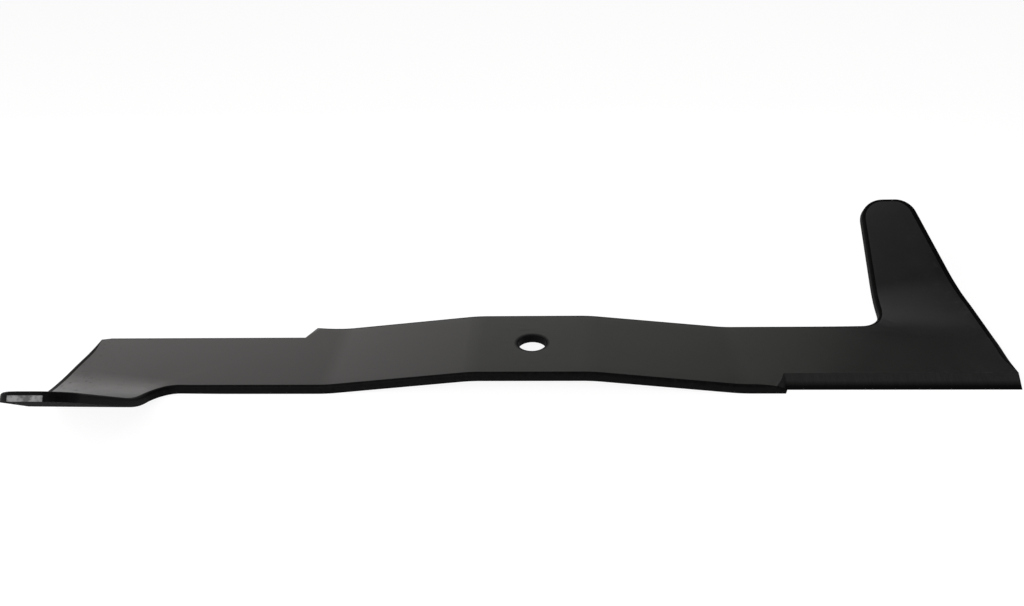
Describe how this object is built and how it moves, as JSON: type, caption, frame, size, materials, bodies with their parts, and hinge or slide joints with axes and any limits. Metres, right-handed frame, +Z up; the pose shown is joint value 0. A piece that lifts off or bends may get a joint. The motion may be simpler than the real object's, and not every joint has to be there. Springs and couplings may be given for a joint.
{
  "type": "rotary mower blade",
  "caption": "Flat steel rotary mower blade with a raised centre for its bolt, ground cutting edges and wings turned up at the trailing side of the ends.",
  "frame": {"origin": "on the axis of the bolt hole, on the plane that the underside of the outer sections rests on", "axes": "+X along the bar, +Y across it, +Z up along the bolt axis, on the side of the wings"},
  "size_m": [0.5296, 0.2148, 0.0545],
  "materials": {
    "paint": "satin black"
  },
  "bodies": {
    "root": {"blade": "paint"}
  },
  "joints": []
}
